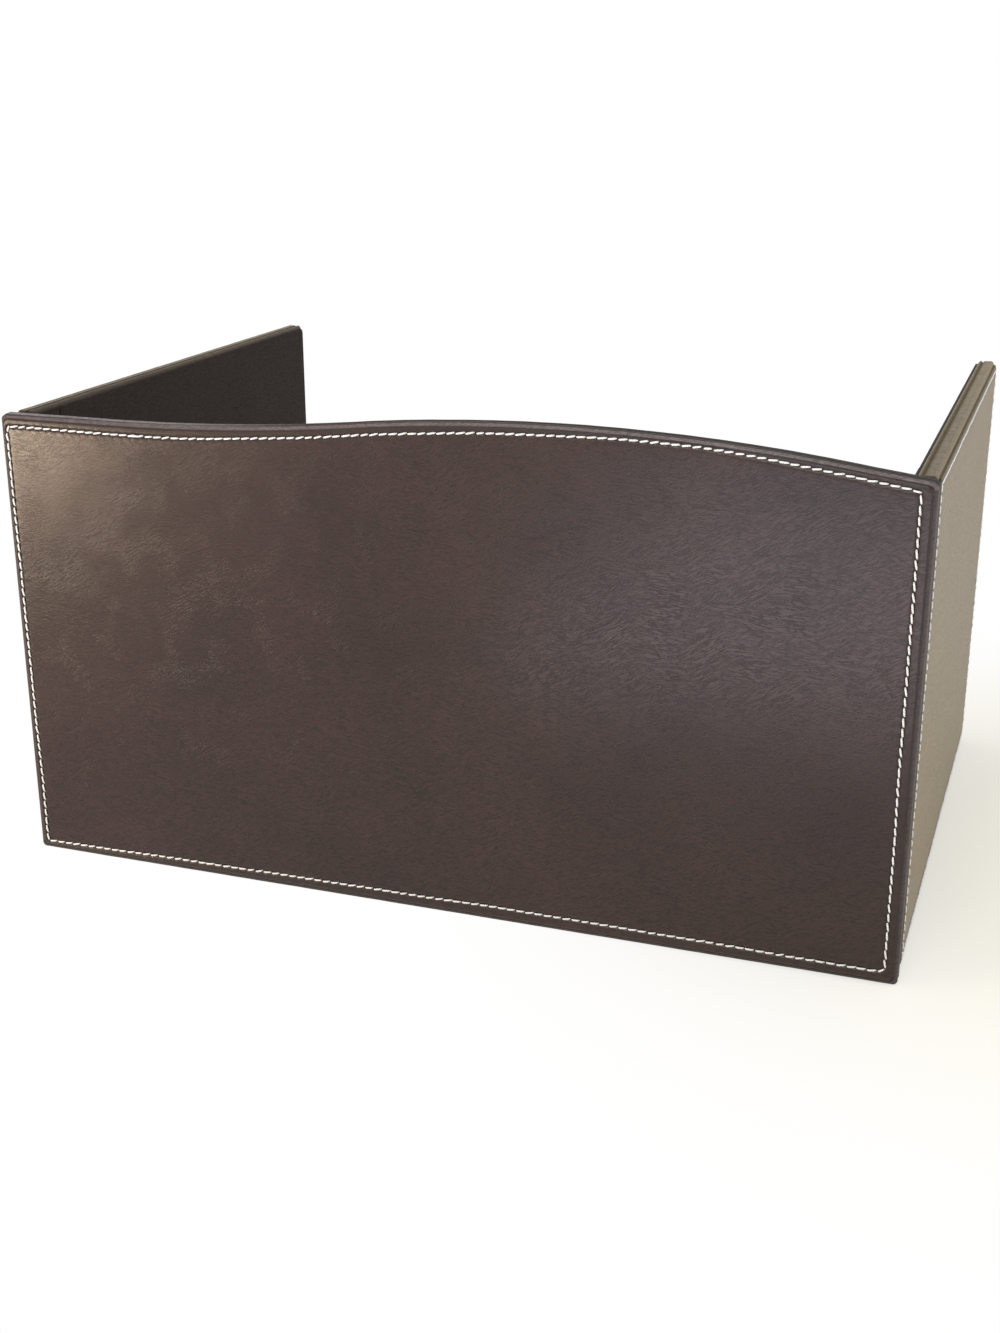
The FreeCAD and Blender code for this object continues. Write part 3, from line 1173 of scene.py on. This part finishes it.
@dataclass
class HingeStrip:
    """Leather strip in an inner corner, glued to the front panel and a wing, with a rolled bend between them.
    """

    body: Body
    arch: Arch

    thickness: float = 1.4 * MM
    bead: float = 1.4 * MM
    edge_round: float = 0.35 * MM
    edge_points: int = 4
    soft: float = 0.4 * MM
    levels: int = 90
    bend_points: int = 22
    # Points on the side glued to the board, on a leaf, in the corner between the leaves and on an edge
    board_points: int = 24
    leaf_points: int = 16
    corner_points: int = 8
    end_points: int = 3
    # Where the bend starts behind the front leaf's face, and where it ends behind the pivot
    bend_start: float = 0.1 * MM
    bend_end: float = 0.7 * MM

    def build(self, material: Material) -> Piece:
        """Build the strip: a closed section of two plates and the rolled bend between them, carried upwards.

        The section is drawn for the right corner, in distances from the screen's middle, and mirrored for the
        left one. Near the top and the bottom each ring is drawn in along the section's normals, which rounds
        those edges. The top follows the arch on the front panel and is level on the wing.

        Args:
            material: The lining leather.

        Returns:
            The strip, bent between the two bodies.
        """
        side = -1 if self.body is Body.LEFT else 1
        name = self.body.name.lower()
        leaves = [f"{name}_hinge_{which}_leaf" for which in ("front", "wing")]
        (front_low, front_high), (wing_low, wing_high) = (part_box(leaf) for leaf in leaves)
        joint = next(j for j in frame["joints"] if j["child"] == self.body.value)
        pivot_x, pivot_y = abs(joint["pos_m"][0]), joint["pos_m"][1]
        near, far = sorted(abs(x) for x in (front_low[0], front_high[0]))
        wing_in, wing_out = sorted(abs(x) for x in (wing_low[0], wing_high[0]))
        board, wing_end, soft = front_low[1], wing_high[1], self.soft
        face = board + self.thickness
        lean_wing = math.degrees(math.acos((wing_in - pivot_x) / self.bead))
        lean_front = 180 + math.degrees(math.asin((pivot_y - face) / self.bead))
        bend = round_corner((pivot_x, pivot_y), self.bead, lean_wing, lean_front, self.bend_points)
        section = np.vstack([
            np.linspace((near + soft, board), (far - soft, board), self.board_points),
            np.linspace((far, board + soft), (far, face - soft), self.end_points),
            np.linspace((far - soft, face), (wing_out + soft, face), self.corner_points),
            np.linspace((wing_out, face + soft), (wing_out, wing_end - soft), self.leaf_points),
            np.linspace((wing_out - soft, wing_end), (wing_in + soft, wing_end), self.end_points),
            np.linspace((wing_in, wing_end - soft), bend[0], self.leaf_points)[:-1],
            bend,
            np.linspace(bend[-1], (near + soft, face), self.leaf_points)[1:],
            np.linspace((near, face - soft), (near, board + soft), self.end_points),
        ])
        tangent = np.roll(section, -1, axis=0) - np.roll(section, 1, axis=0)
        tangent /= np.linalg.norm(tangent, axis=1, keepdims=True)
        outward = np.stack([tangent[:, 1], -tangent[:, 0]], axis=1)

        bottom = float(wing_low[2])
        on_wing = np.clip((section[:, 1] - face) / (pivot_y + self.bead - face), 0, 1)
        panel_along = side * section[:, 0] + self.arch.width / 2
        top = float(wing_high[2]) + self.arch.height(panel_along) * (1 - on_wing)
        turn = np.linspace(0, QUARTER, self.edge_points)
        ends = self.edge_round * (1 - np.cos(turn))
        drawn = self.edge_round * (1 - np.sin(turn))
        share = np.linspace(0, 1, self.levels)[1:-1]
        upright = (bottom + self.edge_round) * (1 - share[:, None]) + (top - self.edge_round) * share[:, None]
        levels = np.vstack([bottom + ends[:, None] + 0 * top, upright, top - ends[::-1, None]])
        draw = np.concatenate([drawn, np.zeros(len(share)), drawn[::-1]])
        flat = section[None] - outward[None] * draw[:, None, None]
        points = np.stack([side * flat[..., 0], flat[..., 1], levels], axis=-1)
        rings, columns = levels.shape
        quads = grid_faces(rings, columns, False)
        ring = np.arange(columns)
        caps = np.stack([ring[::-1], ring + (rings - 1) * columns])
        piece = mesh_object(f"{name}_hinge_strip", points, quads, caps, turned=side < 0)
        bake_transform(piece)
        return dress(piece, material, Slot.LINING, *leaves)


@dataclass(frozen=True)
class Lamp:
    """Soft rectangular lamp aimed at a point, with the share of white light that it gives there."""

    name: str
    place: Point
    aim: Point
    size: tuple[float, float]
    share: float
    colour: str

    def light(self) -> Piece:
        """Hang the lamp.

        A lamp of power P lights a surface that faces it at distance r by P / (pi r^2), and white shows at pi,
        so the power is share * pi^2 * r^2.

        Returns:
            The lamp.
        """
        place, aim = Vector(self.place), Vector(self.aim)
        data = bpy.data.lights.new(self.name, "AREA")
        data.shape = "RECTANGLE"
        data.size, data.size_y = self.size
        data.energy = self.share * math.pi**2 * (aim - place).length_squared
        data.color = linear_colour(self.colour)[:3]
        lamp = bpy.data.objects.new(self.name, data)
        lamp.location = place
        lamp.rotation_euler = (aim - place).to_track_quat("-Z", "Y").to_euler()
        lamp.visible_camera = False
        bpy.context.scene.collection.objects.link(lamp)
        return lamp


@dataclass
class Studio:
    """Pale floor, soft lamps, and a camera where the photograph was taken from."""

    fill: float = 0.5
    fill_colour: str = "fffbf2"
    floor_colour: str = "f6f4e2"
    floor_roughness: float = 0.9
    floor_specular: float = 0.1
    floor_half: float = 30.0
    floor_gap: float = 0.05 * MM
    # Share of plain white that the floor shows beside the screen, where from, and how far off it is all white
    bleach: float = 0.42
    shade_centre: Point = (0.30, 0.02, 0.0)
    shade_reach: tuple[float, float] = (0.08, 0.36)
    camera_place: Point = (0.25233, -0.77052, 0.35254)
    yaw: float = -19.391
    pitch: float = -19.428
    # Angle that turns a camera from looking straight down to looking level
    upright: float = 90.0
    roll: float = 0.102
    focal_pixels: float = 1722.4
    sensor: float = 36.0

    lamps: tuple[Lamp, ...] = (
        Lamp("overhead_softbox", (0.0, -0.1, 2.2), (0.0, 0.0, 0.1), (2.0, 2.0), 0.35, "ffffff"),
        Lamp("left_low_softbox", (-0.60, -0.533, 0.146), (-0.2, -0.1425, 0.2), (0.30, 0.2), 1.22, "ffe4c4"),
        Lamp("right_low_softbox", (1.3, 0.1, 0.25), (0.2, 0.0, 0.12), (0.6, 0.3), 0.45, "fff6e8"),
        Lamp("front_softbox", (0.1, -1.6, 1.2), (0.0, -0.14, 0.1), (0.9, 0.9), 0.42, "fff8f2"),
        Lamp("front_bounce_card", (0.22, -0.80, 0.006), (0.22, -0.80, 0.5), (0.6, 0.75), 1.5, "f0f2ff"),
    )

    def build(self) -> None:
        """Lay the floor, light it and set up the camera."""
        self.floor()
        self.world()
        for lamp in self.lamps:
            lamp.light()
        self.camera()

    def floor(self) -> None:
        """Lay a matt paper floor under the screen."""
        corners = self.floor_half * np.array([(-1, -1), (1, -1), (1, 1), (-1, 1)])
        points = np.column_stack([corners, np.full(len(corners), -self.floor_gap)])
        floor = mesh_object("paper_floor", points, np.arange(len(corners))[None])
        material, add = new_material("matt white background paper")
        paper = add("ShaderNodeBsdfPrincipled", {
            "Base Color": linear_colour(self.floor_colour),
            "Roughness": self.floor_roughness,
            "Specular IOR Level": self.floor_specular,
        })
        place = add("ShaderNodeTexCoord").outputs["Object"]
        away = add("ShaderNodeVectorMath", {0: place, 1: self.shade_centre}, operation="DISTANCE")
        near, far = self.shade_reach
        reach = {"Value": away.outputs["Value"], "From Min": near, "From Max": far}
        fade = add("ShaderNodeMapRange", reach, interpolation_type="SMOOTHSTEP")
        bleach = add("ShaderNodeMix", {0: fade, VALUE_A: self.bleach, VALUE_B: 1.0})
        share = add("ShaderNodeMath", {0: bleach, 1: self.shown_rays(add)}, operation="MULTIPLY")
        white = add("ShaderNodeEmission", {"Color": WHITE, "Strength": 1.0})
        mixed = add("ShaderNodeMixShader", {0: share, 1: paper, 2: white})
        add("ShaderNodeOutputMaterial", {"Surface": mixed})
        set_finish(floor, material)

    @staticmethod
    def shown_rays(add: AddNode) -> Node:
        """Tell rays that show the white background from those that light the screen.

        Args:
            add: Function that adds nodes to a tree.

        Returns:
            Node that is 1 for rays from the camera, from gloss and through glass, and 0 for light itself.
        """
        rays = add("ShaderNodeLightPath").outputs
        seen = add("ShaderNodeMath", {0: rays["Is Camera Ray"], 1: rays["Is Glossy Ray"]}, operation="ADD")
        shown = {0: seen, 1: rays["Is Transmission Ray"]}
        return add("ShaderNodeMath", shown, operation="ADD", use_clamp=True)

    def world(self) -> None:
        """Light from all round at the fill level, shown white to the camera, to gloss and through glass."""
        world = bpy.data.worlds.new("studio")
        world.use_nodes = True
        world.node_tree.nodes.clear()
        add = partial(add_node, world.node_tree)
        shown = self.shown_rays(add)
        level = add("ShaderNodeMix", {0: shown, VALUE_A: self.fill, VALUE_B: 1.0})
        tints = {0: shown, COLOUR_A: linear_colour(self.fill_colour), COLOUR_B: WHITE}
        tint = add("ShaderNodeMix", tints, data_type="RGBA").outputs[COLOUR_OUT]
        glow = add("ShaderNodeBackground", {"Color": tint, "Strength": level})
        add("ShaderNodeOutputWorld", {"Surface": glow})
        bpy.context.scene.world = world

    def camera(self) -> None:
        """Stand the camera where the photograph was taken from and give it that lens."""
        data = bpy.data.cameras.new("photo_camera")
        data.sensor_width = self.sensor
        data.lens = self.sensor * self.focal_pixels / PHOTO_HEIGHT
        camera = bpy.data.objects.new("photo_camera", data)
        camera.matrix_world = Matrix.Translation(self.camera_place)
        for angle, axis in ((-self.yaw, "Z"), (self.upright + self.pitch, "X"), (-self.roll, "Z")):
            camera.matrix_world = camera.matrix_world @ Matrix.Rotation(math.radians(angle), 4, axis)
        bpy.context.scene.collection.objects.link(camera)
        bpy.context.scene.camera = camera


OUTER_LEATHER = CoatedLeather(
    "dark brown coated leather", "342523", "1c1311", (0.18, 0.215), specular=0.35, relief=0.024 * MM, haze=0.2
)
WING_LEATHER = CoatedLeather(
    "dull dark brown leather", "362725", "1f1513", (0.35, 0.43), specular=0.30, relief=0.03 * MM, haze=0.35
)
# Painted highlight: the front's edge leather is a much lighter copy of the wings', for the light on its rolls
# and on the left of its top; painted shade darkens the rest of its top and its other sides
FRONT_EDGING = CoatedLeather(
    "rubbed brown edge leather", "605558", "3f3638", (0.30, 0.38), specular=0.40, relief=0.03 * MM, haze=0.1
)
WING_EDGING = CoatedLeather(
    "dark brown edge leather", "33271f", "241a15", (0.36, 0.44), specular=0.26, relief=0.03 * MM, haze=0.55
)
LINING_LEATHER = CoatedLeather(
    "dull brown lining leather", "2a1f1a", "1e1512", (0.55, 0.66), specular=0.12, relief=0.07 * MM, haze=0.0
)
THREAD = TwistedThread("off-white polyester sewing thread", "e8eaf0", "c2c4cc", relief=0.05 * MM)
FIBREBOARD = PressedFibre("medium density fibreboard", "b89a73", "8f7350", fleck=1.2 * MM)
GREY_CARD = PressedFibre("grey bookbinding card", "a9a59c", "86827a", fleck=0.8 * MM)

FRONT_WORK = Handwork(
    turned_line=((0.0, 2.8), (0.25, 4.0), (0.5, 6.3), (0.75, 5.4), (1.0, 4.6)),
    thread_lift=0.04,
    seed=11,
    corners=((-0.4, -0.9), (0.7, 0.6), (1.3, -0.3), (-1.6, 0.3)),
    bows=(1.4, 0.0, 0.0, 0.15),
    top_row=((0.0, 0.0), (0.2, 0.4), (0.5, -0.35), (0.79, -1.9), (1.0, 0.0)),
    # Painted shade on the top of the front's edge band past its left third, and on its other sides
    painted_top_shade=((0.0, 0.0), (0.2, 0.1), (0.36, 0.9), (1.0, 0.9)),
    painted_side_shade=0.6,
    tied_off=(0.167,),
)
LEFT_WORK = Handwork(turned_line=((0.0, 6.4), (1.0, 6.4)), thread_lift=0.04, seed=23)
RIGHT_WORK = Handwork(
    turned_line=((0.0, 6.8), (1.0, 6.8)),
    thread_lift=0.18,
    seed=37,
    corners=((-0.6, 0.0), (0.0, 0.0), (0.0, -1.0), (-0.6, -1.0)),
)


def dress_hidden_boards(body: Body, board: Material, card: Material) -> None:
    """Give the boards inside a panel, which keep their CAD shapes, their real materials."""
    for layer, material in (("core_board", board), ("facing_card", card)):
        set_finish(frame["nodes"][f"{body.prefix}_{layer}"], material)


def panels() -> list[Panel]:
    """Set out the three panels from the boxes of their CAD nodes.

    Returns:
        The front panel and the two wings.
    """
    band_low, band_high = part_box("front_edge_band")
    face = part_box("front_facing")[0].y
    wing_low, wing_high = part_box("right_wing_edge_band")
    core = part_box("front_core_board")
    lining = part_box("front_lining")
    layers = Layers(core[0].y - face, lining[0].y - face, lining[1].y - face, core[0].x - band_low.x)
    arch = Arch(band_high.x - band_low.x, band_high.z - wing_high.z)
    level = Arch(wing_high.y - wing_low.y, 0.0)
    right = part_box("right_wing_facing")[1].x
    front = Placement((band_low.x, face, 0.0), (1, 0, 0), (0, 1, 0))
    left_wing = Placement((-right, wing_low.y, 0.0), (0, 1, 0), (1, 0, 0))
    right_wing = Placement((right, wing_low.y, 0.0), (0, 1, 0), (-1, 0, 0))
    return [
        Panel(Body.FRONT, front, arch, layers, FRONT_WORK),
        Panel(Body.LEFT, left_wing, level, layers, LEFT_WORK),
        Panel(Body.RIGHT, right_wing, level, layers, RIGHT_WORK),
    ]


def main() -> None:
    """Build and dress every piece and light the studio."""
    logging.basicConfig(level=logging.INFO, format="%(message)s")
    bpy.context.scene.view_settings.view_transform = "Standard"
    leather, lining, thread, board, card = (
        finish.material() for finish in (OUTER_LEATHER, LINING_LEATHER, THREAD, FIBREBOARD, GREY_CARD)
    )
    wing_leather, front_edging, wing_edging = (
        finish.material() for finish in (WING_LEATHER, FRONT_EDGING, WING_EDGING)
    )
    built = panels()
    for panel in built:
        panel.facing(leather if panel.body is Body.FRONT else wing_leather)
        panel.stitches(thread)
        panel.edge_band(front_edging if panel.body is Body.FRONT else wing_edging)
        panel.lining(lining)
        dress_hidden_boards(panel.body, board, card)
    for body in (Body.LEFT, Body.RIGHT):
        HingeStrip(body, built[0].arch).build(lining)
    Studio().build()


if __name__ == "__main__":
    main()
